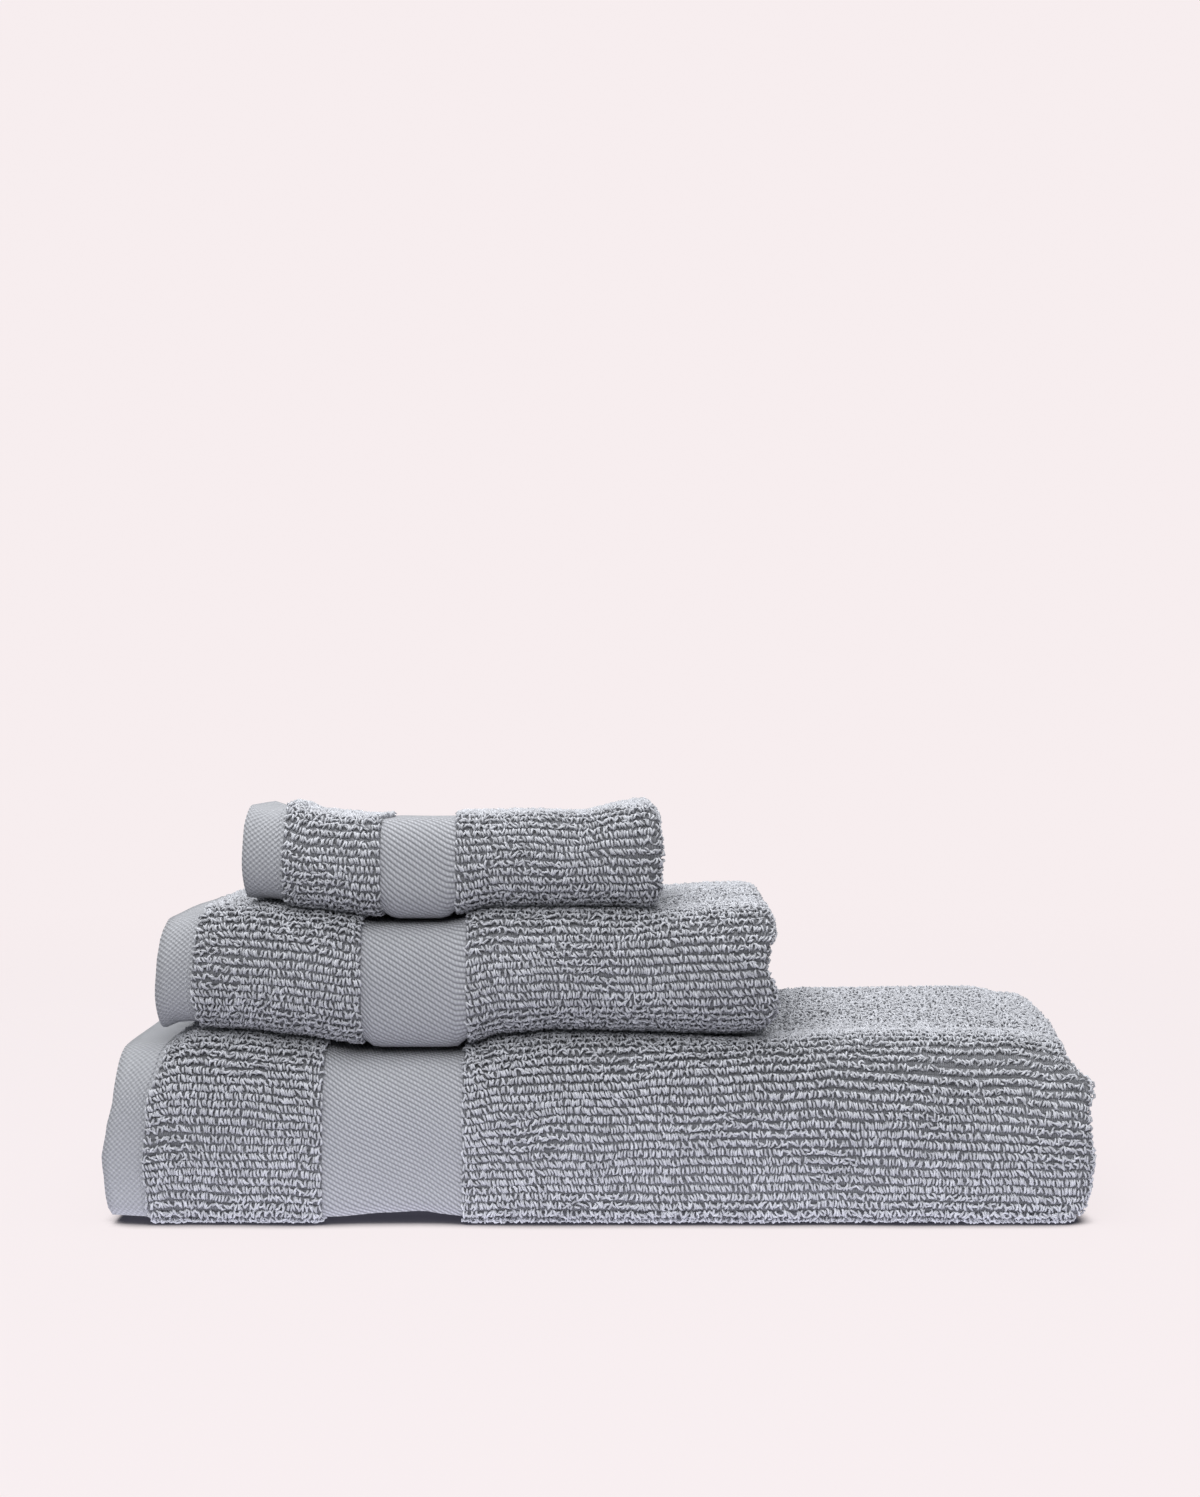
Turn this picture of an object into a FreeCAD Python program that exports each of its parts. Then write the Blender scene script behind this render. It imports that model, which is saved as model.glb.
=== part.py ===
import FreeCAD, Part
import os
import Sketcher

# A stack of three folded terry towels: bath towel below, hand towel on it, guest towel on top.
# X runs along the towels' length with the hemmed ends at -X, the rolled front is at -Y and +Z is up.
# The origin is on the ground, under the middle of the bath towel.
# Each towel is a folded stack: one outer layer of cloth wraps the inner layers like a letter C that
# is open at the back. Along X that layer is a flat hem, a terry border, a flat band and a terry field.

doc = FreeCAD.newDocument("TowelSet")
sheet = doc.addObject("Spreadsheet::Sheet", "Sizes")

DRIVING_SIZES = (
    ("bathDepth", 175.0, "bath towel, a quarter of its 700 mm width"),
    ("bathHeight", 88.0, "bath towel, twelve layers high"),
    ("bathRollLow", 32.0, "height of the bath towel's foremost line"),
    ("bathLayer", 7.3, "one layer of the bath towel"),
    ("bathHem", 21.0, "flat end hem of the bath towel"),
    ("bathBorder", 80.0, "terry between hem and band"),
    ("bathBand", 67.0, "flat band"),
    ("bathField", 296.0, "terry from the band to the end fold"),
    ("handDepth", 167.0, "hand towel, a third of its 500 mm width"),
    ("handHeight", 60.0, "hand towel, nine layers high"),
    ("handRollLow", 27.0, "height of the hand towel's foremost line"),
    ("handLayer", 6.6, "one layer of the hand towel"),
    ("handHem", 18.0, "flat end hem of the hand towel"),
    ("handBorder", 77.0, "terry between hem and band"),
    ("handBand", 51.0, "flat band"),
    ("handField", 145.0, "terry from the band to the end fold"),
    ("handShift", 23.5, "hand towel's hem, in from the bath towel's"),
    ("handSetback", 1.0, "hand towel's front, behind the bath towel's"),
    ("guestDepth", 100.0, "guest towel, a third of its 300 mm width"),
    ("guestHeight", 47.0, "guest towel, nine layers high"),
    ("guestRollLow", 21.0, "height of the guest towel's foremost line"),
    ("guestLayer", 5.2, "one layer of the guest towel"),
    ("guestHem", 19.0, "flat end hem of the guest towel"),
    ("guestBorder", 44.0, "terry between hem and band"),
    ("guestBand", 37.0, "flat band"),
    ("guestField", 97.0, "terry from the band to the end fold"),
    ("guestShift", 41.0, "guest towel's hem, in from the hand towel's"),
    ("guestSetback", 4.0, "guest towel's front, behind the hand towel's"),
    ("leafShare", 0.3333, "share of the guest towel's height that opens as its top third"),
    ("pileRise", 2.0, "terry pile, proud of the flat hems and bands"),
    ("stackGap", 0.3, "clearance between two towels"),
    ("leafGap", 0.3, "clearance under the guest towel's top third"),
    ("backRound", 4.0, "rounding of the folds at the back"),
    ("backRecess", 2.0, "inner layers, in from the outer layer's back edge"),
    ("hemRecess", 4.0, "inner layers, in from the hemmed end"),
    ("sideHem", 10.0, "width of the flat hem along a towel's long edge"),
    ("sideHemThick", 3.2, "thickness of that hem"),
    ("stitchSetback", 5.0, "hem seam, in from the terry"),
    ("stitchWidth", 1.0, "width of the hem seam's thread"),
    ("stitchProud", 0.6, "thread, proud of the hem"),
)
for row, (alias, number, meaning) in enumerate(DRIVING_SIZES, start=1):
    sheet.set(f"A{row}", meaning)
    sheet.set(f"B{row}", str(number))
    sheet.setAlias(f"B{row}", alias)
doc.recompute()


class Dim:
    """A length, held both as an expression on the sheet and as its present number."""

    def __init__(self, text, number):
        self.text = text
        self.number = number

    def __add__(self, other):
        return Dim(f"({self.text} + {other.text})", self.number + other.number)

    def __sub__(self, other):
        return Dim(f"({self.text} - {other.text})", self.number - other.number)

    def __mul__(self, other):
        return Dim(f"({self.text} * {other.text})", self.number * other.number)

    def half(self):
        return Dim(f"({self.text} / 2)", self.number / 2)


def dim(alias):
    return Dim(f"Sizes.{alias}", float(sheet.get(alias)))


NOTHING = Dim("0", 0.0)


def sectionPlane(body):
    """The body's own YZ plane, on which every cross-section is drawn."""
    return next(f for f in body.Origin.OriginFeatures if f.Role == "YZ_Plane")


def newSketch(body, name):
    sketch = body.newObject("Sketcher::SketchObject", name)
    sketch.AttachmentSupport = (sectionPlane(body), [""])
    sketch.MapMode = "FlatFace"
    return sketch


def bindConstraint(sketch, name, constraint, length):
    index = sketch.addConstraint(constraint)
    sketch.renameConstraint(index, name)
    sketch.setExpression(f"Constraints.{name}", length.text)


def point(y, z):
    return FreeCAD.Vector(y, z, 0)


def line(sketch, y0, z0, y1, z1):
    return sketch.addGeometry(Part.LineSegment(point(y0, z0), point(y1, z1)), False)


def arc(sketch, y, z, radius, fromTurn, toTurn):
    """An arc about (y, z); the turns are in quarters, anticlockwise from +Y."""
    quarter = 1.5707963267948966
    circle = Part.Circle(point(y, z), FreeCAD.Vector(0, 0, 1), radius)
    return sketch.addGeometry(Part.ArcOfCircle(circle, fromTurn * quarter, toTurn * quarter), False)


START, END, CENTRE, ORIGIN = 1, 2, 3, -1


def joinSmooth(sketch, first, firstEnd, second, secondEnd):
    sketch.addConstraint(Sketcher.Constraint("Tangent", first, firstEnd, second, secondEnd))


def rolledSection(body, name, towel, inset, back, corner=None):
    """A towel's section, inset all round: an egg-shaped roll in front and a flat back,
    square unless a corner radius is given."""
    sketch = newSketch(body, name)
    low = dim(f"{towel}RollLow")
    high = dim(f"{towel}Height") - low
    lowRadius, highRadius = low - inset, high - inset
    top = dim(f"{towel}Height") - inset
    turn = corner if corner else NOTHING
    y0, z0, y1, z1, r = inset.number, inset.number, back.number, top.number, turn.number
    bottomLine = line(sketch, low.number, z0, y1 - r, z0)
    lowArc = arc(sketch, low.number, low.number, lowRadius.number, 2, 3)
    highArc = arc(sketch, high.number, low.number, highRadius.number, 1, 2)
    topLine = line(sketch, y1 - r, z1, high.number, z1)
    backLine = line(sketch, y1, z0 + r, y1, z1 - r)
    joinSmooth(sketch, lowArc, END, bottomLine, START)
    joinSmooth(sketch, highArc, END, lowArc, START)
    joinSmooth(sketch, topLine, END, highArc, START)
    if corner:
        lowCorner = arc(sketch, y1 - r, z0 + r, r, 3, 4)
        highCorner = arc(sketch, y1 - r, z1 - r, r, 0, 1)
        joinSmooth(sketch, bottomLine, END, lowCorner, START)
        joinSmooth(sketch, lowCorner, END, backLine, START)
        joinSmooth(sketch, backLine, END, highCorner, START)
        joinSmooth(sketch, highCorner, END, topLine, START)
        for side, which in (("lowCorner", lowCorner), ("highCorner", highCorner)):
            bindConstraint(sketch, side, Sketcher.Constraint("Radius", which, r), corner)
    else:
        sketch.addConstraint(Sketcher.Constraint("Coincident", bottomLine, END, backLine, START))
        sketch.addConstraint(Sketcher.Constraint("Coincident", backLine, END, topLine, START))
    sketch.addConstraint(Sketcher.Constraint("Horizontal", bottomLine))
    sketch.addConstraint(Sketcher.Constraint("Horizontal", topLine))
    sketch.addConstraint(Sketcher.Constraint("Vertical", backLine))
    for side, which, radius in (("lowRoll", lowArc, lowRadius), ("highRoll", highArc, highRadius)):
        bindConstraint(sketch, side, Sketcher.Constraint("Radius", which, radius.number), radius)
    for side, way, which, which_end, length in (
        ("front", "DistanceX", lowArc, START, inset),
        ("bottom", "DistanceY", bottomLine, START, inset),
        ("top", "DistanceY", topLine, START, top),
        ("back", "DistanceX", backLine, START, back),
    ):
        bound = Sketcher.Constraint(way, ORIGIN, START, which, which_end, length.number)
        bindConstraint(sketch, side, bound, length)
    return sketch


def boxSection(body, name, front, bottom, back, top):
    """An upright rectangle in the section plane."""
    sketch = newSketch(body, name)
    y0, z0, y1, z1 = front.number, bottom.number, back.number, top.number
    sides = [
        line(sketch, y0, z0, y1, z0),
        line(sketch, y1, z0, y1, z1),
        line(sketch, y1, z1, y0, z1),
        line(sketch, y0, z1, y0, z0),
    ]
    for here, after in zip(sides, sides[1:] + sides[:1]):
        sketch.addConstraint(Sketcher.Constraint("Coincident", here, END, after, START))
    for side, way in zip(sides, ("Horizontal", "Vertical", "Horizontal", "Vertical")):
        sketch.addConstraint(Sketcher.Constraint(way, side))
    for side, way, which, length in (
        ("front", "DistanceX", sides[0], front),
        ("bottom", "DistanceY", sides[0], bottom),
        ("back", "DistanceX", sides[2], back),
        ("top", "DistanceY", sides[2], top),
    ):
        bound = Sketcher.Constraint(way, ORIGIN, START, which, START, length.number)
        bindConstraint(sketch, side, bound, length)
    return sketch


def pad(body, sketch, length):
    feature = body.newObject("PartDesign::Pad", "Pad")
    feature.Profile = sketch
    feature.Length = length.number
    feature.setExpression("Length", length.text)
    body.Tip = feature


def pocket(body, sketch, length):
    """A cut from the body's own section plane towards +X, which has to take material away."""
    doc.recompute()
    before = body.Shape.Volume
    feature = body.newObject("PartDesign::Pocket", "Pocket")
    feature.Profile = sketch
    feature.Reversed = True
    feature.Length = length.number
    feature.setExpression("Length", length.text)
    body.Tip = feature
    doc.recompute()
    if not body.Shape.Volume < before - 1.0:
        raise RuntimeError(f"{body.Label}: a pocket cuts nothing")


subParts = []


def newBody(label, place, along):
    """A sub-part whose own origin is at the towel's foremost line, on its underside, at along."""
    body = doc.addObject("PartDesign::Body", label)
    body.Label = label
    for axis, length in (("x", place["start"] + along), ("y", place["front"]), ("z", place["base"])):
        body.setExpression(f".Placement.Base.{axis}", length.text)
    subParts.append(body)
    return body


def lengthOf(towel):
    return dim(f"{towel}Hem") + dim(f"{towel}Border") + dim(f"{towel}Band") + dim(f"{towel}Field")


bathPlace = {
    "start": NOTHING - lengthOf("bath").half(),
    "front": NOTHING - dim("bathDepth").half(),
    "base": NOTHING,
}
handPlace = {
    "start": bathPlace["start"] + dim("handShift"),
    "front": bathPlace["front"] + dim("handSetback"),
    "base": bathPlace["base"] + dim("bathHeight") + dim("stackGap"),
}
guestPlace = {
    "start": handPlace["start"] + dim("guestShift"),
    "front": handPlace["front"] + dim("guestSetback"),
    "base": handPlace["base"] + dim("handHeight") + dim("stackGap"),
}
leafUnderside = dim("guestHeight") * (Dim("1", 1.0) - dim("leafShare"))
BEYOND = dim("sideHem")


def keepLower(body, towel, length):
    """Takes away what belongs to the top third."""
    over = (leafUnderside, dim(f"{towel}Depth") + BEYOND, dim(f"{towel}Height") + BEYOND)
    pocket(body, boxSection(body, "AboveCut", NOTHING - BEYOND, *over), length)


def keepUpper(body, towel, length):
    """Takes away everything under the top third."""
    under = (NOTHING - BEYOND, dim(f"{towel}Depth") + BEYOND, leafUnderside + dim("leafGap"))
    pocket(body, boxSection(body, "BelowCut", NOTHING - BEYOND, *under), length)


def outerZone(label, towel, place, along, length, inset, endFold, hemEdge, trim):
    """One zone of the outer layer: a C round the inner layers, closed at the end fold."""
    body = newBody(label, place, along)
    depth, layer = dim(f"{towel}Depth"), dim(f"{towel}Layer")
    outline = rolledSection(body, "Outline", towel, inset, depth - inset, dim("backRound") - inset.half())
    pad(body, outline, length)
    inside = rolledSection(body, "InnerLayers", towel, layer, depth + BEYOND)
    pocket(body, inside, length - layer if endFold else length)
    edge = depth - dim("sideHem")
    height = dim(f"{towel}Height")
    if hemEdge == "top":
        strip = boxSection(body, "SideHem", edge, height - layer, depth + BEYOND, height + BEYOND)
        pocket(body, strip, length)
    if hemEdge == "bottom":
        strip = boxSection(body, "SideHem", edge, NOTHING - BEYOND, depth + BEYOND, layer)
        pocket(body, strip, length)
    if trim:
        trim(body, towel, length)


def innerLayers(label, towel, place, trim):
    layer = dim(f"{towel}Layer")
    length = lengthOf(towel) - dim("hemRecess") - layer
    body = newBody(label, place, dim("hemRecess"))
    back = dim(f"{towel}Depth") - dim("backRecess")
    pad(body, rolledSection(body, "Core", towel, layer, back), length)
    if trim:
        trim(body, towel, length)


def sideHem(label, towel, place, hemEdge):
    """The flat hem along the towel's long edge, where the outer layer ends at the back."""
    depth, layer, height = dim(f"{towel}Depth"), dim(f"{towel}Layer"), dim(f"{towel}Height")
    length = lengthOf(towel) - dim("hemRecess") - layer
    body = newBody(label, place, dim("hemRecess"))
    bottom = height - layer if hemEdge == "top" else layer - dim("sideHemThick")
    front = depth - dim("sideHem")
    strip = boxSection(body, "Strip", front, bottom, depth, bottom + dim("sideHemThick"))
    pad(body, strip, length)


def hemStitching(label, towel, place, trim):
    """The thread of the end hem's seam, lying round the hem."""
    along = dim(f"{towel}Hem") - dim("stitchSetback")
    body = newBody(label, place, along)
    depth = dim(f"{towel}Depth")
    crown = dim("pileRise") - dim("stitchProud")
    pad(body, rolledSection(body, "Thread", towel, crown, depth - dim("sideHem")), dim("stitchWidth"))
    cloth = rolledSection(body, "Hem", towel, dim("pileRise"), depth)
    pocket(body, cloth, dim("stitchWidth"))
    if trim:
        trim(body, towel, dim("stitchWidth"))


def foldedTowel(towel, name, place, hemEdge, trim=None, innerName="inner_layers"):
    """All sub-parts of one towel, or of the part of it that trim keeps."""
    along = NOTHING
    for zone, size, flat in (
        ("end_hem", "Hem", True),
        ("terry_border", "Border", False),
        ("dobby_band", "Band", True),
        ("terry_field", "Field", False),
    ):
        length = dim(f"{towel}{size}")
        inset = dim("pileRise") if flat else NOTHING
        label = f"{name}_{zone}"
        outerZone(label, towel, place, along, length, inset, zone == "terry_field", hemEdge, trim)
        along = along + length
    innerLayers(f"{name}_{innerName}", towel, place, trim)
    hemStitching(f"{name}_hem_stitching", towel, place, trim)
    if hemEdge:
        sideHem(f"{name}_side_hem", towel, place, hemEdge)


foldedTowel("bath", "bath_towel", bathPlace, "bottom")
foldedTowel("hand", "hand_towel", handPlace, "top")
foldedTowel("guest", "guest_towel", guestPlace, None, keepLower)
foldedTowel("guest", "guest_top_leaf", guestPlace, "top", keepUpper)
doc.recompute()

for item in doc.Objects:
    if "Invalid" in item.State or "Error" in item.State:
        raise RuntimeError(f"{item.Label} did not rebuild: {item.State}")
for part in subParts:
    if part.Shape.isNull() or not part.Shape.isValid() or len(part.Shape.Solids) != 1:
        raise RuntimeError(f"{part.Label} is not one valid solid")

os.makedirs("parts", exist_ok=True)
for part in subParts:
    part.Shape.exportStep(os.path.join("parts", f"{part.Label}.step"))
    box = part.Shape.BoundBox
    print(f"{part.Label:34s} x {box.XMin:7.1f} {box.XMax:7.1f}  y {box.YMin:7.1f} {box.YMax:7.1f}"
          f"  z {box.ZMin:6.1f} {box.ZMax:6.1f}  {part.Shape.Volume / 1000:8.2f} cm3")
print(f"hinge line of the top leaf: y {guestPlace['front'].number:.2f}"
      f"  z {(guestPlace['base'] + dim('guestRollLow')).number:.2f}")
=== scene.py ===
import bpy
import bmesh
import math
import numpy as np
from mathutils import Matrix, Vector


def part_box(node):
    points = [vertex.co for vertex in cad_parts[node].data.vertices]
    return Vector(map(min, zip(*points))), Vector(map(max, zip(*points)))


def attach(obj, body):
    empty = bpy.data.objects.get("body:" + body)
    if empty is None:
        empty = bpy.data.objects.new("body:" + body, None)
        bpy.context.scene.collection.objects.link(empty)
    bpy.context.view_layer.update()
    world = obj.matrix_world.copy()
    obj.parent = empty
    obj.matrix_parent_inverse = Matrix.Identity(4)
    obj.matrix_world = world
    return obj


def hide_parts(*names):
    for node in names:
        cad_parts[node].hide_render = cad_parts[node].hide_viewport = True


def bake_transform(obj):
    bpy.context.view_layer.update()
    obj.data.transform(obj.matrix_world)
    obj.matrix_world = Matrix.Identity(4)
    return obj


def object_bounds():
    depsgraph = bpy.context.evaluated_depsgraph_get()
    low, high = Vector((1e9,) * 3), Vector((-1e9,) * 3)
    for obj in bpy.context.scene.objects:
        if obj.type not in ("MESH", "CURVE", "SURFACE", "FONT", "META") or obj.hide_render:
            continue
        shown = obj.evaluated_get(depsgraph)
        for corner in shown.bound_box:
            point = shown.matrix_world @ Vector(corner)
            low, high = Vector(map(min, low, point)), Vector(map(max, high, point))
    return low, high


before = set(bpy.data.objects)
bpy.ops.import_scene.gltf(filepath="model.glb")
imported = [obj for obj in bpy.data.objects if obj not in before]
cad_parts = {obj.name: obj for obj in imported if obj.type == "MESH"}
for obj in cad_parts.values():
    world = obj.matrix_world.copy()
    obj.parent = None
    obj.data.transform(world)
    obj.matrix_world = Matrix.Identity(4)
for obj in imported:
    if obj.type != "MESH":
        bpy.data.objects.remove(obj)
cadBox = [list(corner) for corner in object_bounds()]
mm = 0.001
print("frame loaded")

camera = {"distance": 1.02, "height": 0.246, "lens": 52.7, "droop": 1.27}


def placeCamera(values):
    data = bpy.data.cameras.new("studioCamera")
    data.lens = values["lens"]
    data.sensor_width = 36.0
    data.clip_end = 100.0
    eye = bpy.data.objects.new("studioCamera", data)
    eye.location = (0.0, cadBox[0][1] - values["distance"], values["height"])
    eye.rotation_euler = (math.radians(90.0 - values["droop"]), 0.0, 0.0)
    bpy.context.scene.collection.objects.link(eye)
    bpy.context.scene.camera = eye


placeCamera(camera)

studio = {
    "backdrop": (0.93, 0.852, 0.862),
    "floorTint": (0.06, 0.057, 0.06),
    "floorGlow": 0.92,
    # The contact keys set a painted contact shadow: the floor's colour goes dark close to what stands on
    # it.
    "contactReach": 20 * mm,  # how far from what stands on it the floor is dark
    "contactFrom": 0.36,  # openness at which the floor is darkest, and at which it is plain
    "contactTo": 0.72,
    "bounce": (1.42, 1.40, 1.58),  # light that the floor near the object gives back
    "bounceLong": 0.5,  # less than 1 draws that light out along X
    "bounceNear": 0.13,
    "bounceFar": 0.31,
    "farShare": 0.04,
    "fadeFrom": 0.45,
    "fadeTo": 1.6,
    "ambient": 0.30,
    "topLight": 24.0,
    "frontLight": 17.0,
    "backLight": 6.0,
}


def buildStudio(values):
    world = bpy.data.worlds.new("studioWorld")
    bpy.context.scene.world = world
    world.use_nodes = True
    nodes, links = world.node_tree.nodes, world.node_tree.links
    nodes.clear()
    out = nodes.new("ShaderNodeOutputWorld")
    seen = nodes.new("ShaderNodeBackground")
    seen.inputs["Color"].default_value = (*values["backdrop"], 1.0)
    fill = nodes.new("ShaderNodeBackground")
    fill.inputs["Color"].default_value = (0.93, 0.95, 1.0, 1.0)
    fill.inputs["Strength"].default_value = values["ambient"]
    which = nodes.new("ShaderNodeLightPath")
    mix = nodes.new("ShaderNodeMixShader")
    links.new(which.outputs["Is Camera Ray"], mix.inputs[0])
    links.new(fill.outputs[0], mix.inputs[1])
    links.new(seen.outputs[0], mix.inputs[2])
    links.new(mix.outputs[0], out.inputs["Surface"])

    bm = bmesh.new()
    bmesh.ops.create_grid(bm, x_segments=1, y_segments=1, size=12.0)
    floorMesh = bpy.data.meshes.new("paleFloor")
    bm.to_mesh(floorMesh)
    bm.free()
    floor = bpy.data.objects.new("paleFloor", floorMesh)
    bpy.context.scene.collection.objects.link(floor)
    paint = bpy.data.materials.new("palePaper")
    paint.use_nodes = True
    nodes, links = paint.node_tree.nodes, paint.node_tree.links
    shader = nodes["Principled BSDF"]
    shader.inputs["Base Color"].default_value = (*values["floorTint"], 1.0)
    shader.inputs["Roughness"].default_value = 0.9
    shader.inputs["Specular IOR Level"].default_value = 0.0
    shader.inputs["Emission Color"].default_value = (*values["backdrop"], 1.0)
    shader.inputs["Emission Strength"].default_value = values["floorGlow"]
    place = nodes.new("ShaderNodeTexCoord")
    reach = nodes.new("ShaderNodeVectorMath")
    reach.operation = "LENGTH"
    links.new(place.outputs["Object"], reach.inputs[0])
    fade = nodes.new("ShaderNodeMapRange")
    fade.interpolation_type = "SMOOTHSTEP"
    fade.inputs["From Min"].default_value = values["fadeFrom"]
    fade.inputs["From Max"].default_value = values["fadeTo"]
    links.new(reach.outputs["Value"], fade.inputs["Value"])
    # Painted contact shadow: where ambient occlusion finds something close, the floor colour the camera
    # sees goes dark.
    contact = nodes.new("ShaderNodeAmbientOcclusion")
    contact.inputs["Distance"].default_value = values["contactReach"]
    shade = nodes.new("ShaderNodeMapRange")
    shade.inputs["From Min"].default_value = values["contactFrom"]
    shade.inputs["From Max"].default_value = values["contactTo"]
    links.new(contact.outputs["AO"], shade.inputs["Value"])
    paintedContactShadow = nodes.new("ShaderNodeMix")
    paintedContactShadow.data_type = "RGBA"
    paintedContactShadow.inputs[6].default_value = (0.02, 0.02, 0.03, 1.0)
    paintedContactShadow.inputs[7].default_value = (*values["backdrop"], 1.0)
    links.new(shade.outputs["Result"], paintedContactShadow.inputs[0])
    near = nodes.new("ShaderNodeMapRange")
    near.interpolation_type = "SMOOTHSTEP"
    near.inputs["From Min"].default_value = values["bounceNear"]
    near.inputs["From Max"].default_value = values["bounceFar"]
    near.inputs["To Min"].default_value = 1.0
    near.inputs["To Max"].default_value = values["farShare"]
    along = nodes.new("ShaderNodeVectorMath")
    along.operation = "MULTIPLY"
    along.inputs[1].default_value = (values["bounceLong"], 1.0, 1.0)
    apart = nodes.new("ShaderNodeVectorMath")
    apart.operation = "LENGTH"
    links.new(place.outputs["Object"], along.inputs[0])
    links.new(along.outputs[0], apart.inputs[0])
    links.new(apart.outputs["Value"], near.inputs["Value"])
    given = nodes.new("ShaderNodeVectorMath")
    given.operation = "SCALE"
    given.inputs[0].default_value = values["bounce"]
    links.new(near.outputs["Result"], given.inputs["Scale"])
    which = nodes.new("ShaderNodeLightPath")
    glow = nodes.new("ShaderNodeMix")
    glow.data_type = "RGBA"
    links.new(which.outputs["Is Camera Ray"], glow.inputs[0])
    links.new(given.outputs[0], glow.inputs[6])
    links.new(paintedContactShadow.outputs[2], glow.inputs[7])
    links.new(glow.outputs[2], shader.inputs["Emission Color"])
    clear = nodes.new("ShaderNodeBsdfTransparent")
    blend = nodes.new("ShaderNodeMixShader")
    links.new(fade.outputs["Result"], blend.inputs[0])
    links.new(shader.outputs[0], blend.inputs[1])
    links.new(clear.outputs[0], blend.inputs[2])
    links.new(blend.outputs[0], nodes["Material Output"].inputs["Surface"])
    floorMesh.materials.append(paint)

    for name, power, size, place, aim in (
        ("softTop", values["topLight"], 1.6, (-0.15, -0.25, 1.5), (0, 0, 0.1)),
        ("softFront", values["frontLight"], 1.2, (-0.3, -1.6, 1.3), (0, 0, 0.1)),
        ("softBack", values["backLight"], 1.2, (0.2, 1.5, 1.0), (0, 0, 0.1)),
    ):
        data = bpy.data.lights.new(name, "AREA")
        data.energy = power
        data.size = size
        lamp = bpy.data.objects.new(name, data)
        lamp.location = place
        lamp.rotation_euler = (Vector(aim) - Vector(place)).to_track_quat("-Z", "Y").to_euler()
        bpy.context.scene.collection.objects.link(lamp)


buildStudio(studio)
bpy.context.scene.view_settings.view_transform = "Standard"
print("camera, stage and light set")

# flat is a towel's own size; panels is how many times its width lies one on another.
towels = {
    "bath": {"name": "bath_towel", "upper": "bath_towel", "panels": 4, "flat": (0.70, 1.40)},
    "hand": {"name": "hand_towel", "upper": "hand_towel", "panels": 3, "flat": (0.50, 0.90)},
    "guest": {"name": "guest_towel", "upper": "guest_top_leaf", "panels": 3, "flat": (0.30, 0.60)},
}
cloth = {
    "outerHalf": 1.9 * mm,  # ground cloth on the side that shows, from its middle
    "innerShare": 0.46,  # on the other side, as a share of a layer
    "flatShare": 0.36,  # thickness of hems and bands beside terry
    "sideHem": 10 * mm,
    "zoneStep": 0.8 * mm,  # half of the step from terry down to a flat zone
    "ribPitch": 4.0 * mm,
}


def readTowel(values):
    name, upper = values["name"], values["upper"]
    border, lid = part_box(f"{name}_terry_border"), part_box(f"{upper}_terry_border")
    values["front"], values["back"] = border[0].y, border[1].y
    values["low"], values["high"] = border[0].z, lid[1].z
    zones = ("end_hem", "terry_border", "dobby_band", "terry_field")
    values["edges"] = [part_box(f"{name}_{zone}")[0].x for zone in zones]
    values["end"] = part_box(f"{name}_terry_field")[1].x
    values["pack"] = (values["high"] - values["low"]) / values["panels"]
    values["layer"] = values["pack"] / 3


for values in towels.values():
    readTowel(values)


def straight(yFrom, yTo, z, side):
    return {"kind": "straight", "from": yFrom, "to": yTo, "z": z, "side": side, "long": abs(yTo - yFrom)}


def turn(y, z, radius, angleFrom, angleTo, side, pack):
    reach = radius + pack if side > 0 else max(radius - pack, 0.0)
    sweep = math.radians(angleTo - angleFrom)
    reach = max(reach, 0.15 * pack)
    return {"kind": "turn", "y": y, "z": z, "radius": radius, "start": math.radians(angleFrom),
            "sweep": sweep, "side": side, "long": reach * abs(sweep)}


# The towel's path across its width, from one long edge to the other.
def widthPath(values):
    low, pack, front, back = values["low"], values["pack"], values["front"], values["back"]
    roll = front + values["panels"] / 2 * pack
    fold = back - pack
    if values["panels"] == 4:
        middle = low + 2 * pack
        return [
            straight(back, roll, low + pack, -1),
            turn(roll, middle, pack, 270, 90, 1, pack),
            straight(roll, fold, low + 3 * pack, 1),
            turn(fold, low + 3 * pack, 0.0, 90, -90, 1, pack),
            straight(fold, roll, low + 3 * pack, -1),
            turn(roll, middle, pack, 90, 270, -1, pack),
            straight(roll, back - 2 * mm, low + pack, 1),
        ]
    middle = low + 1.5 * pack
    return [
        straight(roll - 0.1 * pack, fold, low + pack, 1),
        turn(fold, low + pack, 0.0, 90, -90, 1, pack),
        straight(fold, roll, low + pack, -1),
        turn(roll, middle, pack / 2, 270, 90, 1, pack),
        straight(roll, back, low + 2 * pack, 1),
    ]


# The path along the towel's length, in a bundle of three layers; its last entries are heights.
def lengthPath(values):
    layer, start, end = values["layer"], values["edges"][0], values["end"]
    right, left = end - layer, start + 5 * mm + layer
    half = layer / 2
    return [
        {"kind": "run", "from": start, "to": right, "n": 2.5 * layer, "side": 1, "long": right - start},
        {"kind": "bend", "x": right, "n": 2 * layer, "radius": half, "start": math.pi / 2,
         "sweep": -math.pi, "side": 1, "long": math.pi * half},
        {"kind": "run", "from": right, "to": left, "n": 1.5 * layer, "side": -1, "long": right - left},
        {"kind": "bend", "x": left, "n": layer, "radius": half, "start": math.pi / 2,
         "sweep": math.pi, "side": -1, "long": math.pi * half},
        {"kind": "run", "from": left, "to": end - 1.7 * layer, "n": 0.5 * layer, "side": 1,
         "long": end - 1.7 * layer - left},
    ]


def totalOf(path):
    return sum(piece["long"] for piece in path)


# The pieces of a path at the given distances: an index and a share of the piece for each.
def along(path, distance):
    ends = np.cumsum([piece["long"] for piece in path])
    index = np.clip(np.searchsorted(ends, distance, side="left"), 0, len(path) - 1)
    begins = np.concatenate(([0.0], ends[:-1]))[index]
    share = (distance - begins) / np.array([piece["long"] for piece in path])[index]
    return index, np.clip(share, 0.0, 1.0)


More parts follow.
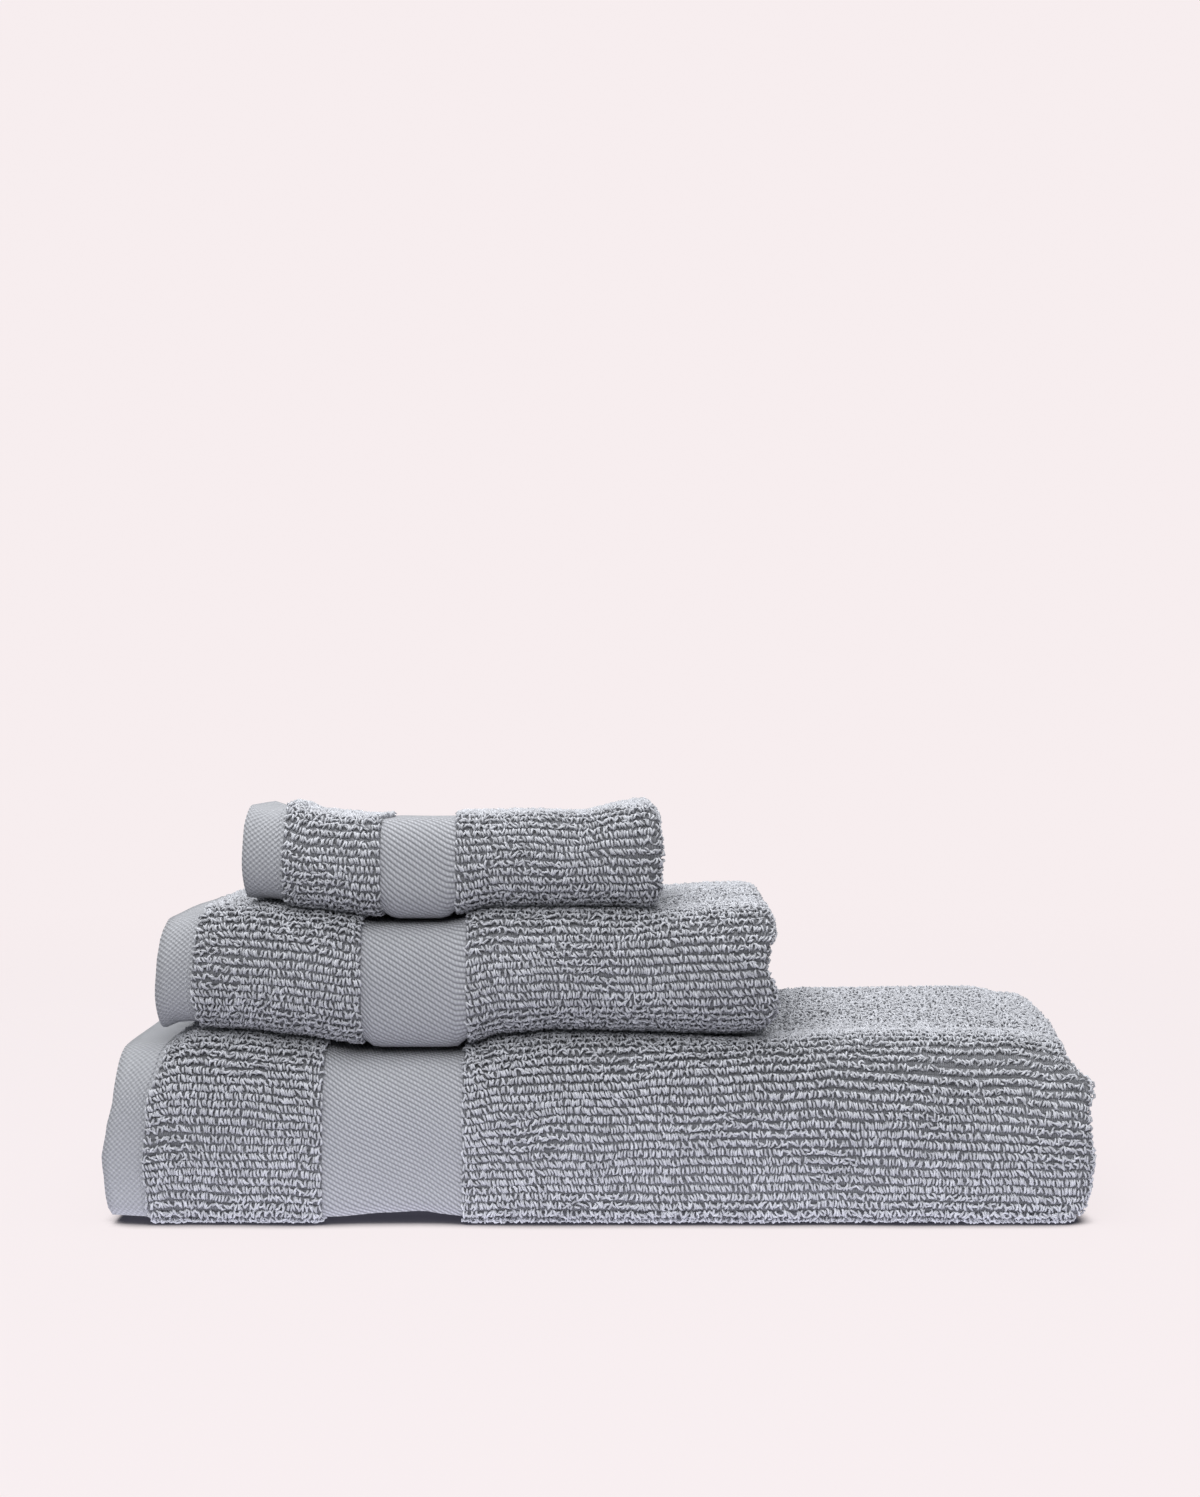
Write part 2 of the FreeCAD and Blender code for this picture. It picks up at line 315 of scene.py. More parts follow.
# Base point and outward direction, in Y and Z, at distances across the width.
def sectionAt(path, distance):
    distance = np.asarray(distance, float)
    index, share = along(path, distance)
    y, z, ny, nz = (np.zeros_like(distance) for _ in range(4))
    for k, piece in enumerate(path):
        here = index == k
        if piece["kind"] == "straight":
            y[here] = piece["from"] + (piece["to"] - piece["from"]) * share[here]
            z[here] = piece["z"]
            nz[here] = piece["side"]
        else:
            angle = piece["start"] + piece["sweep"] * share[here]
            y[here] = piece["y"] + piece["radius"] * np.cos(angle)
            z[here] = piece["z"] + piece["radius"] * np.sin(angle)
            ny[here] = piece["side"] * np.cos(angle)
            nz[here] = piece["side"] * np.sin(angle)
    return y, z, ny, nz


# X, height in the bundle and outward direction at distances along the length.
def runAt(path, distance):
    distance = np.asarray(distance, float)
    index, share = along(path, distance)
    x, n, nx, nn = (np.zeros_like(distance) for _ in range(4))
    for k, piece in enumerate(path):
        here = index == k
        if piece["kind"] == "run":
            x[here] = piece["from"] + (piece["to"] - piece["from"]) * share[here]
            n[here] = piece["n"]
            nn[here] = piece["side"]
        else:
            angle = piece["start"] + piece["sweep"] * share[here]
            x[here] = piece["x"] + piece["radius"] * np.cos(angle)
            n[here] = piece["n"] + piece["radius"] * np.sin(angle)
            nx[here] = piece["side"] * np.cos(angle)
            nn[here] = piece["side"] * np.sin(angle)
    return x, n, nx, nn


# How the weight of the stack and the folding hand shape each towel: heights in mm at X in mm.
# A bump is X, Y, height, width and depth; slants and bulges are X shifts at shares of the height.
settling = {
    "bath": {
        "top": ((-232, -4), (-212, -2.5), (-200, 1.5), (-170, 0.4), (-146, -2.4), (-112, -7), (-66, -7),
                (-44, -1.6), (-20, 0.5), (60, 1), (84, 2), (110, 3), (196, 4.5), (220, 1.2), (232, -2)),
        "bottom": ((-232, 1), (-213, 0), (-126, 0), (-100, 2.3), (-84, 3.2), (-70, 1), (-62, 0), (232, 0)),
        "bumps": ((72, -20, -8, 62, 42), (206, -95, -11, 72, 66), (120, 70, 1, 50, 20)),
        "rollLow": 32, "square": 20.0, "setBack": 0.0,
        "round": ((-232, 3.4), (-190, 4.2), (60, 4.0), (120, 2.5), (232, 2.0)),
        "drift": ((-65, 0), (116, 9), (232, 10)),
        "hemSlant": ((0, 6), (0.05, 2.5), (0.12, 0.3), (0.2, -0.5), (0.38, -2), (0.5, -0.3), (0.7, 2.7),
                     (0.85, 3.5), (0.93, 4), (1, 7)),
        "borderSlant": ((0, 2), (0.1, -1), (0.36, -3), (0.65, -1.5), (0.9, 5), (1, 9)),
        "endBulge": ((0, -12), (0.05, -7), (0.1, -2.5), (0.24, 0), (0.36, 2), (0.43, 2), (0.5, 0.5),
                     (0.66, 0), (0.75, 2.8), (0.80, 3.8), (0.85, -2.5), (0.91, -6), (1, -5)),
        "backEnd": 5.0, "tilt": 0.0,
    },
    "hand": {
        "top": ((-209, -4), (-196, -2), (-184, 0.6), (-162, 1.0), (-136, -1.8), (-106, -5.2), (-76, -5.2),
                (-48, -0.6), (0, -0.5), (30, -1), (62, 0.5), (76, 0.8), (83, -0.5)),
        "bottom": "bath", "bandSag": 4.5,
        "bumps": ((62, 10, 1.5, 22, 45), (35, -40, -1.5, 14, 30), (-200, 80, -3, 30, 50)),
        "rollLow": 25, "square": 2.5, "round": ((-209, 2.4), (-175, 3.2), (83, 3.0)), "setBack": 5.0,
        "drift": ((-60, 0), (12, 0), (42, 4.8), (83, 6)),
        "hemSlant": ((0, 1.5), (0.1, -0.2), (0.35, -1), (0.6, -0.2), (0.8, 0.8), (0.93, 2.5), (1, 5)),
        "borderSlant": ((0, 1), (0.35, -1), (0.8, 1), (1, 3)),
        "endBulge": ((0, -3), (0.2, 2.2), (0.36, 1), (0.52, -3.2), (0.66, -1.5), (0.8, 1.5), (1, 0)),
        "backEnd": 1.0, "tilt": 0.0,
    },
    "guest": {
        "top": ((-168, 0.5), (-160, -2), (-150, -2.4), (-139, -6.4), (-112, -7.4), (-98, -6.2), (-62, -6.7),
                (-33, -5.7), (-10, -6.5), (12, -2.8), (23, -1), (29.5, -3)),
        "bottom": "hand", "bandSag": 4.0,
        "bumps": ((-143, -40, 3.0, 8, 30), (18, 0, 1.0, 9, 20)),
        "rollLow": 19, "square": 2.3, "round": ((-168, 2.5), (30, 2.5)), "setBack": 4.0,
        "drift": ((-60, 0), (-10, -0.5), (30, 1.5)),
        "hemSlant": ((0, 0.3), (0.4, -1.2), (0.7, -0.8), (1, 0.8)),
        "borderSlant": ((0, 0.5), (0.4, -0.5), (1, 0.5)),
        "endBulge": ((0, -3), (0.25, 0), (0.6, 1), (1, -2)),
        "backEnd": 0.0, "tilt": 3.0,
    },
}


# A smooth line through a few (place, value) points.
def follow(points, x):
    places, heights = np.array(points, float).T
    index = np.clip(np.searchsorted(places, x) - 1, 0, len(places) - 2)
    share = np.clip((x - places[index]) / (places[index + 1] - places[index]), 0, 1)
    share = share * share * (3 - 2 * share)
    return heights[index] + (heights[index + 1] - heights[index]) * share


# Slow seeded unevenness between about -1 and 1.
def ripple(x, y, seed, wave):
    dice = np.random.default_rng(seed)
    total = np.zeros_like(x)
    for _ in range(5):
        angle, phase = dice.uniform(0, 2 * math.pi, 2)
        stretch = wave * dice.uniform(0.7, 1.6)
        total += np.sin((x * math.cos(angle) + y * math.sin(angle)) * 2 * math.pi / stretch + phase)
    return total / 2.6


def topRise(key, x, y):
    values = settling[key]
    rise = follow(values["top"], x / mm)
    for bumpX, bumpY, height, wide, deep in values["bumps"]:
        rise = rise + height * np.exp(-(((x / mm - bumpX) / wide) ** 2) - (((y / mm - bumpY) / deep) ** 2))
    return rise * mm


def bottomRise(key, x, y):
    source = settling[key]["bottom"]
    if isinstance(source, str):
        bandFrom, bandTo = towels[key]["edges"][2:4]
        atBand = smooth((x - bandFrom) / (7 * mm)) * smooth((bandTo - x) / (7 * mm))
        return topRise(source, x, y) - settling[key]["bandSag"] * mm * atBand
    front = 1 - np.clip((y - towels[key]["front"]) / (60 * mm), 0, 1)
    return follow(source, x / mm) * mm * front


def smooth(share):
    share = np.clip(share, 0, 1)
    return share * share * (3 - 2 * share)


# Pushes the round front roll out, so that it stands almost upright and flat on what is below.
def squareRoll(key, x, y, z):
    towel, values = towels[key], settling[key]
    radius = (towel["high"] - towel["low"]) / 2
    centre, middle = towel["front"] + radius, towel["low"] + radius
    ahead, over = np.maximum(centre - y, 0), z - middle
    reach = np.hypot(ahead, over) + 1e-9
    slope = np.clip(np.abs(over) / reach, 0, 1)
    power = np.where(over < 0, values["square"], follow(values["round"], x / mm))
    power = 2 + (power - 2) * np.clip(reach / radius, 0, 1) ** 1.5
    out = (1 - slope ** power) ** (1 / power)
    return np.where(y < centre, centre - reach * out, y)


# Moves idealised fold points to where the cloth comes to rest.
def settle(key, points):
    towel, values = towels[key], settling[key]
    x, y, z = points[..., 0], points[..., 1], points[..., 2]
    low, high = towel["low"], towel["high"]
    tall = high - low
    frontness = smooth(1 - (y - towel["front"]) / (0.62 * tall))
    y = squareRoll(key, x, y, z)
    level = np.clip((z - low) / tall, 0, 1)
    sag = values["rollLow"] * mm / tall - 0.5
    zNew = z + frontness * sag * tall * 4 * level * (1 - level)
    level = np.clip((zNew - low) / tall, 0, 1)
    deep = np.clip((y - towel["front"]) / (towel["back"] - towel["front"]), 0, 1)
    bottom, top = bottomRise(key, x, y), topRise(key, x, y) + values["tilt"] * mm * (1 - deep)
    zNew = zNew + bottom * (1 - level) + top * level
    seed = len(key) * 7
    zNew = zNew + 0.5 * mm * ripple(x, y, seed, 0.09) * level * (1 - 0.6 * frontness)
    uneven = 1.1 * ripple(x, zNew, seed + 1, 0.11) + 0.4 * ripple(x, zNew, seed + 2, 0.04)
    yNew = y + frontness * mm * (uneven + values["setBack"])
    backness = np.clip((y - towel["back"] + 50 * mm) / (50 * mm), 0, 1)
    yNew = yNew + backness * mm * (1.5 * ripple(x, zNew, seed + 3, 0.12) - 1.5)
    hemEnd, hemStart = towel["edges"][0], towel["edges"][1]
    atHem = np.clip((hemStart - x) / (hemStart - hemEnd), 0, 1)
    leftness = smooth(1 - (x - hemStart) / (60 * mm))
    rightness = 1 - np.clip((towel["end"] - x) / (45 * mm), 0, 1)
    slant = follow(values["hemSlant"], level) * atHem + follow(values["borderSlant"], level) * (1 - atHem)
    slant = slant + 0.6 * ripple(y, zNew, seed + 4, 0.08)
    tail = follow(values["endBulge"], level) + 1.0 * ripple(y, zNew, seed + 5, 0.09)
    tail = tail + values["backEnd"] * smooth((deep - 0.22) / 0.5) - 3.5 * smooth((deep - 0.8) / 0.2)
    xNew = x + leftness * slant * mm + rightness ** 2 * tail * mm
    return np.stack([xNew, yNew, zNew], axis=-1)


# Settled points of the cloth's middle plane, raised by lift on its outer side.
def foldGrid(key, lengthwise, crosswise, lift):
    towel = towels[key]
    x, n, nx, nn = runAt(lengthPath(towel), lengthwise)
    y, z, ny, nz = sectionAt(widthPath(towel), crosswise)
    height = n + lift * nn
    points = np.zeros(np.broadcast(x, y).shape + (3,))
    points[..., 0] = x + lift * nx
    points[..., 1] = y + height * ny
    points[..., 2] = z + height * nz
    return settle(key, points)


# Nominal distances across the width, with the real lengths along the settled cloth's outside.
def realWidths(key):
    towel = towels[key]
    nominal = np.linspace(0, totalOf(widthPath(towel)), 1600)
    middle = np.full_like(nominal, lengthPath(towel)[0]["long"] * 0.62)
    points = foldGrid(key, middle, nominal, cloth["outerHalf"] + 1 * mm)
    steps = np.linalg.norm(np.diff(points, axis=0), axis=1)
    return nominal, np.concatenate(([0.0], np.cumsum(steps)))


# Distances along the cloth where its zones meet: hem, border, band and field at each end.
def zoneStops(towel):
    first = [edge - towel["edges"][0] for edge in towel["edges"]]
    whole = totalOf(lengthPath(towel))
    return first[1:] + [whole - stop for stop in reversed(first[1:])], whole


def lengthStations(towel, step):
    path = lengthPath(towel)
    stops, whole = zoneStops(towel)
    bounds = np.cumsum([piece["long"] for piece in path])
    marks = {0.0, whole, *bounds.tolist()}
    for stop in stops:
        marks.update((stop - cloth["zoneStep"], stop + cloth["zoneStep"]))
    marks = sorted(marks)
    stations = []
    for a, b in zip(marks, marks[1:]):
        middle = (a + b) / 2
        index, _ = along(path, np.array([middle]))
        piece = path[index[0]]
        fine = piece["long"] / 7 if piece["kind"] == "bend" else step * (1 if index[0] == 0 else 2)
        count = max(1, round((b - a) / fine))
        stations += [a + (b - a) * k / count for k in range(count)]
    return np.array(stations + [whole])


for key, values in towels.items():
    values["nominal"], values["real"] = realWidths(key)
    path = widthPath(values)
    roll = 1 if values["panels"] == 4 else 3
    ends = np.cumsum([piece["long"] for piece in path])
    rollEnds = np.interp((ends[roll - 1], ends[roll]), values["nominal"], values["real"])
    values["rollFrom"] = rollEnds[0] + 0.25 * (rollEnds[1] - rollEnds[0])
    values["rollLong"] = 0.75 * (rollEnds[1] - rollEnds[0])


def widthStations(towel, step, first, last):
    path = widthPath(towel)
    ends = [0.0, *np.cumsum([piece["long"] for piece in path]).tolist()]
    stations = []
    for k in range(first, last):
        a, b = np.interp((ends[k], ends[k + 1]), towel["nominal"], towel["real"])
        count = max(8 if path[k]["kind"] == "turn" else 1, round((b - a) / step))
        places = np.interp(np.linspace(a, b, count + 1)[1:-1], towel["real"], towel["nominal"])
        stations += [ends[k], *places]
    stations.append(ends[last])
    hem = cloth["sideHem"]
    extra = [hem] if first == 0 else []
    if last == len(path):
        extra.append(ends[-1] - hem)
    return np.array(sorted(set(stations) | set(extra)))


def link(obj):
    bpy.context.scene.collection.objects.link(obj)
    return obj


# A towel's cloth, or some of its panels, as one folded sheet with its real thickness.
def foldedCloth(name, key, step, finishNames, first=0, last=None):
    towel = towels[key]
    path = widthPath(towel)
    last = len(path) if last is None else last
    us, vs = lengthStations(towel, step), widthStations(towel, step, first, last)
    nu, nv = len(us), len(vs)
    across = np.interp(vs, towel["nominal"], towel["real"])
    bm = bmesh.new()
    bmesh.ops.create_grid(bm, x_segments=nu - 1, y_segments=nv - 1, size=1.0)
    uvLayer = bm.loops.layers.uv.new("flatCloth")
    thick = bm.verts.layers.deform.new()
    co = np.array([vert.co for vert in bm.verts])
    column = np.rint((co[:, 0] + 1) / 2 * (nu - 1)).astype(int)
    row = np.rint((co[:, 1] + 1) / 2 * (nv - 1)).astype(int)
    places = foldGrid(key, us[column], vs[row], 0.0)
    stops, _ = zoneStops(towel)
    width = totalOf(path)
    step = cloth["zoneStep"]
    for vert, place, i, j in zip(bm.verts, places, column, row):
        vert.co = place
        u, v = us[i], vs[j]
        flat = u < stops[0] or stops[1] < u < stops[2] or stops[3] < u < stops[4] or u > stops[5]
        near = min(v, width - v) < cloth["sideHem"] - 1e-9
        vert[thick][0] = cloth["flatShare"] if flat or near else 1.0
    bm.verts.index_update()
    outerEnd = lengthPath(towel)[0]["long"] + lengthPath(towel)[1]["long"]
    for face in bm.faces:
        middle = sum(us[column[v.index]] for v in face.verts) / 4
        for loop in face.loops:
            loop[uvLayer].uv = (us[column[loop.vert.index]], across[row[loop.vert.index]])
        side = sum(vs[row[v.index]] for v in face.verts) / 4
        if middle > outerEnd:
            face.material_index = 3
        atEdge = min(side, width - side) < cloth["sideHem"]
        if middle < stops[0] - step or middle > stops[5] + step or atEdge:
            face.material_index = 2
        elif stops[1] + step < middle < stops[2] - step or stops[3] + step < middle < stops[4] - step:
            face.material_index = 1
        face.smooth = True
    bm.faces.ensure_lookup_table()
    probe = next(f for f in bm.faces if us[column[f.verts[0].index]] < stops[2])
    j = row[probe.verts[0].index]
    i = column[probe.verts[0].index]
    raised = foldGrid(key, us[[i]], vs[[j]], 1 * mm)[0] - foldGrid(key, us[[i]], vs[[j]], 0.0)[0]
    bm.normal_update()
    if probe.normal.dot(Vector(raised)) < 0:
        bmesh.ops.reverse_faces(bm, faces=bm.faces)
    mesh = bpy.data.meshes.new(name)
    bm.to_mesh(mesh)
    bm.free()
    obj = dress(link(bpy.data.objects.new(name, mesh)), *finishNames)
    obj.vertex_groups.new(name="thickness")
    shell = obj.modifiers.new("thickness", "SOLIDIFY")
    outer, inner = cloth["outerHalf"], cloth["innerShare"] * towel["layer"]
    shell.thickness = outer + inner
    shell.offset = (outer - inner) / (outer + inner)
    shell.vertex_group = "thickness"
    shell.material_offset = 3
    shell.use_rim = True
    return finished(obj)


# Applies an object's modifiers.
def finished(obj):
    depsgraph = bpy.context.evaluated_depsgraph_get()
    mesh = bpy.data.meshes.new_from_object(obj.evaluated_get(depsgraph), depsgraph=depsgraph)
    obj.modifiers.clear()
    old = obj.data
    mesh.name = old.name
    obj.data = mesh
    bpy.data.meshes.remove(old)
    return obj


pile = {
    "span": 4.2 * mm,  # of a loop, across its rib
    "height": 2.2 * mm,
    "yarn": 1.04 * mm,
    "finePitch": 1.08 * mm,  # from loop to loop along a rib, where it shows
    "coarsePitch": 1.6 * mm,
    "clump": 4.6 * mm,  # how far apart the loops of a rib draw together
    "drawn": 0.14 * mm,  # and how much
    "ribWander": 0.34 * mm,  # of single loops off their rib
    "ribWave": 0.6 * mm,
    "pastFold": 9 * mm,  # how far round the end fold the pile goes on
    "lean": 0.36,
    "fade": 0.20,  # how much single loops differ in brightness
    "seed": 11,
}


# Three loops of yarn, each an arch across its rib, in a hidden collection.
def loopShapes(values):
    shelf = bpy.data.collections.new("yarnLoops")
    for name, skew in (("loopUpright", 0.0), ("loopLeft", -0.35), ("loopRight", 0.35)):
        bm = bmesh.new()
        span, tall, yarn = values["span"] / 2 - values["yarn"] / 2, values["height"], values["yarn"]
        ring = bmesh.ops.create_circle(bm, cap_ends=True, segments=4, radius=yarn / 2)
        bmesh.ops.translate(bm, verts=ring["verts"], vec=(0, span, 0))
        bmesh.ops.spin(bm, geom=bm.faces[:], axis=(1, 0, 0), cent=(0, 0, 0), angle=math.pi, steps=3)
        openEdges = [edge for edge in bm.edges if edge.is_boundary]
        bmesh.ops.holes_fill(bm, edges=openEdges, sides=4)
        bmesh.ops.recalc_face_normals(bm, faces=bm.faces)
        bmesh.ops.scale(bm, vec=(1, 1, tall / (span + yarn / 2)), verts=bm.verts)
        for vert in bm.verts:
            vert.co.x += skew * vert.co.z
            vert.co.z -= 0.25 * mm
        for face in bm.faces:
            face.smooth = True
        mesh = bpy.data.meshes.new(name)
        bm.to_mesh(mesh)
        bm.free()
        shelf.objects.link(bpy.data.objects.new(name, mesh))
    return shelf


# Geometry nodes that set a loop of yarn on every guide point.
def loopLayer(shelf):
    tree = bpy.data.node_groups.new("layLoops", "GeometryNodeTree")
    tree.interface.new_socket("Geometry", in_out="INPUT", socket_type="NodeSocketGeometry")
    tree.interface.new_socket("Geometry", in_out="OUTPUT", socket_type="NodeSocketGeometry")
    nodes, links = tree.nodes, tree.links
    points = nodes.new("NodeGroupInput")
    result = nodes.new("NodeGroupOutput")
    loops = nodes.new("GeometryNodeCollectionInfo")
    loops.inputs["Collection"].default_value = shelf
    loops.inputs["Separate Children"].default_value = True
    loops.inputs["Reset Children"].default_value = True
    place = nodes.new("GeometryNodeInstanceOnPoints")
    place.inputs["Pick Instance"].default_value = True

    def named(name, kind):
        node = nodes.new("GeometryNodeInputNamedAttribute")
        node.data_type = kind
        node.inputs["Name"].default_value = name
        return node.outputs["Attribute"]

    upright = nodes.new("FunctionNodeAxesToRotation")
    upright.primary_axis, upright.secondary_axis = "Z", "X"
    links.new(named("outward", "FLOAT_VECTOR"), upright.inputs["Primary Axis"])
    links.new(named("alongRib", "FLOAT_VECTOR"), upright.inputs["Secondary Axis"])
    tilt = nodes.new("FunctionNodeEulerToRotation")
    links.new(named("tilt", "FLOAT_VECTOR"), tilt.inputs[0])
    turned = nodes.new("FunctionNodeRotateRotation")
    turned.rotation_space = "LOCAL"
    links.new(upright.outputs[0], turned.inputs[0])
    links.new(tilt.outputs[0], turned.inputs[1])
    whole = nodes.new("GeometryNodeRealizeInstances")
    links.new(points.outputs[0], place.inputs["Points"])
    links.new(loops.outputs[0], place.inputs["Instance"])
    links.new(named("shape", "INT"), place.inputs["Instance Index"])
    links.new(turned.outputs[0], place.inputs["Rotation"])
    links.new(named("size", "FLOAT_VECTOR"), place.inputs["Scale"])
    links.new(place.outputs[0], whole.inputs[0])
    links.new(whole.outputs[0], result.inputs[0])
    return tree


loopShelf = loopShapes(pile)
layLoops = loopLayer(loopShelf)


# Points on the cloth's outer side, with its directions along, across and outward there.
def standOn(key, u, v, lift):
    small = 0.4 * mm
    base = foldGrid(key, u, v, lift)
    lengthwise = foldGrid(key, u + small, v, lift) - foldGrid(key, u - small, v, lift)
    crosswise = foldGrid(key, u, v + small, lift) - foldGrid(key, u, v - small, lift)
    outward = np.cross(lengthwise, crosswise)
    raised = foldGrid(key, u, v, lift * 1.5) - base
    outward *= np.sign(np.sum(outward * raised, axis=1))[:, None]
    outward /= np.linalg.norm(outward, axis=1)[:, None] + 1e-12
    return base, lengthwise, crosswise, outward


# Ribs of loops over a patch of one side of the cloth, in distances along and across it.
def layPile(name, key, lengthFrom, lengthTo, crossFrom, crossTo, pitch):
    towel = towels[key]
    width = totalOf(widthPath(towel))
    dice = np.random.default_rng(pile["seed"] + sum(map(ord, name)))
    ribPitch = cloth["ribPitch"]
    count = max(2, round((lengthTo - lengthFrom) / pitch))
    spare = 20 * mm
    fromReal, toReal = np.interp((crossFrom, crossTo), towel["nominal"], towel["real"])
    ribs = np.arange(math.floor((fromReal - spare) / ribPitch), math.ceil((toReal + spare) / ribPitch))
    u = np.linspace(lengthFrom, lengthTo, count)[None, :].repeat(len(ribs), 0)
    phase = dice.uniform(0, 2 * math.pi, (len(ribs), 1)) + 4 * ripple(u, ribs[:, None] * 0.37, 5, 0.06)
    u = u + pile["drawn"] * np.sin(u * 2 * math.pi / pile["clump"] + phase)
    u = u + dice.normal(0, 0.13 * pitch, u.shape)
    u = np.clip(u, lengthFrom - 0.5 * mm, lengthTo + 0.5 * mm)
    x = runAt(lengthPath(towel), u)[0]
    drift = follow(settling[key]["drift"], x / mm) * mm
    w = ribs[:, None] * ribPitch + dice.normal(0, pile["ribWander"], u.shape)
    w = w + drift * smooth((w - towel["rollFrom"]) / towel["rollLong"])
    w = w + pile["ribWave"] * ripple(u, ribs[:, None] * 0.006, 8, 0.045)
    v = np.interp(w, towel["real"], towel["nominal"])
    w = np.broadcast_to(w, u.shape)
    sound = (v > crossFrom) & (v <= crossTo) & (v > cloth["sideHem"]) & (v < width - cloth["sideHem"])
    u, v = u[sound], v[sound]
    base, alongRib, _, outward = standOn(key, u, v, cloth["outerHalf"])
    total = len(u)
    rib = np.rint(w[sound] / ribPitch)
    flatness = smooth((np.abs(outward[:, 2]) - 0.2) / 0.6)
    nearRest = smooth(1 - (base[:, 2] - towel["low"]) / (16 * mm)) if key == "bath" else 0.0
    tousle = np.clip(flatness + 0.9 * nearRest + 0.8 * smooth(ripple(u, v, 12, 0.045) * 1.5 - 0.3), 0, 1)
    lean = np.sin(rib * 2.4 + 3 * ripple(u, rib * 0.01, 13, 0.06)) * 0.5 + 0.5 * ripple(u, v, 10, 0.05)
    tilt = np.stack([
        dice.normal(0, 1, total) * (0.16 + 0.42 * tousle),
        dice.normal(0, 1, total) * (0.12 + 0.30 * tousle) + 0.10 * ripple(u, v, 9, 0.03),
        dice.normal(0, 1, total) * (0.20 + 0.75 * tousle) + pile["lean"] * lean + 0.22,
    ], axis=1)
    wide = pitch / pile["finePitch"]
    size = np.stack([
        dice.uniform(0.9, 1.15, total) * wide,
        dice.uniform(0.88, 1.1, total),
        dice.uniform(0.66, 1.22, total),
    ], axis=1)
    shade = 1 + pile["fade"] * dice.uniform(-1, 1, total)
    obj = setYarn(name, layLoops, base, outward, alongRib, tilt, size, shade, dice.integers(0, 3, total))
    print(f"{name}: {total} loops, {len(obj.data.polygons)} faces")
    return obj


# One mesh of small pieces of yarn, set on guide points that say how each one stands.
def setYarn(name, tree, base, outward, lengthwise, tilt, size, shade, shape):
    mesh = bpy.data.meshes.new(name)
    mesh.vertices.add(len(base))
    mesh.vertices.foreach_set("co", base.astype(np.float32).ravel())
    for label, data in (("outward", outward), ("alongRib", lengthwise), ("tilt", tilt), ("size", size)):
        layer = mesh.attributes.new(label, "FLOAT_VECTOR", "POINT")
        layer.data.foreach_set("vector", data.astype(np.float32).ravel())
    layer = mesh.attributes.new("shade", "FLOAT", "POINT")
    layer.data.foreach_set("value", shade.astype(np.float32))
    layer = mesh.attributes.new("shape", "INT", "POINT")
    layer.data.foreach_set("value", shape.astype(np.int32))
    obj = link(bpy.data.objects.new(name, mesh))
    obj.modifiers.new("yarn", "NODES").node_group = tree
    finished(obj)
    for label in ("outward", "alongRib", "tilt", "size", "shape"):
        if label in obj.data.attributes:
            obj.data.attributes.remove(obj.data.attributes[label])
    obj.data.materials.clear()
    return obj


stitching = {
    "pitch": 2.7 * mm,
    "length": 2.0 * mm,
    "width": 0.6 * mm,
    "proud": 0.3 * mm,
    "fromTerry": 3.5 * mm,
}


def stitchShape(values):
    shelf = bpy.data.collections.new("seamStitch")
    bm = bmesh.new()
    bmesh.ops.create_icosphere(bm, subdivisions=1, radius=0.5)
    bmesh.ops.scale(bm, vec=(values["length"], values["width"], 2 * values["proud"]), verts=bm.verts)
    for face in bm.faces:
        face.smooth = True
    mesh = bpy.data.meshes.new("seamStitch")
    bm.to_mesh(mesh)
    bm.free()
    shelf.objects.link(bpy.data.objects.new("seamStitch", mesh))
    return shelf


laySeam = loopLayer(stitchShape(stitching))


# The row of stitches that closes a towel's end hem, over part of its width.
def seam(name, key, crossFrom, crossTo):
    towel = towels[key]
    stops, _ = zoneStops(towel)
    a, b = np.interp((crossFrom, crossTo), towel["nominal"], towel["real"])
    places = np.arange(a + stitching["pitch"], b - stitching["pitch"], stitching["pitch"])
    v = np.interp(places, towel["real"], towel["nominal"])
    u = np.full_like(v, stops[0] - stitching["fromTerry"])
    base, _, acrossCloth, outward = standOn(key, u, v, cloth["outerHalf"] * cloth["flatShare"])
    count = len(v)
    obj = setYarn(name, laySeam, base, outward, acrossCloth, np.zeros((count, 3)), np.ones((count, 3)),
                  np.ones(count), np.zeros(count))
    return dress(obj, "seamThread")


def nodeGroup(name, inputs, outputs):
    group = bpy.data.node_groups.new(name, "ShaderNodeTree")
    for label, kind, start in inputs:
        socket = group.interface.new_socket(label, in_out="INPUT", socket_type=kind)
        if start is not None:
            socket.default_value = start
    for label, kind in outputs:
        group.interface.new_socket(label, in_out="OUTPUT", socket_type=kind)
    return group, group.nodes.new("NodeGroupInput"), group.nodes.new("NodeGroupOutput")


def mathNode(tree, operation, a, b=None, c=None, clamp=False):
    node = tree.nodes.new("ShaderNodeMath")
    node.operation = operation
    node.use_clamp = clamp
    for socket, value in zip(node.inputs, (a, b, c)):
        if value is None:
            continue
        if isinstance(value, (int, float)):
            socket.default_value = value
        else:
            tree.links.new(value, socket)
    return node.outputs[0]
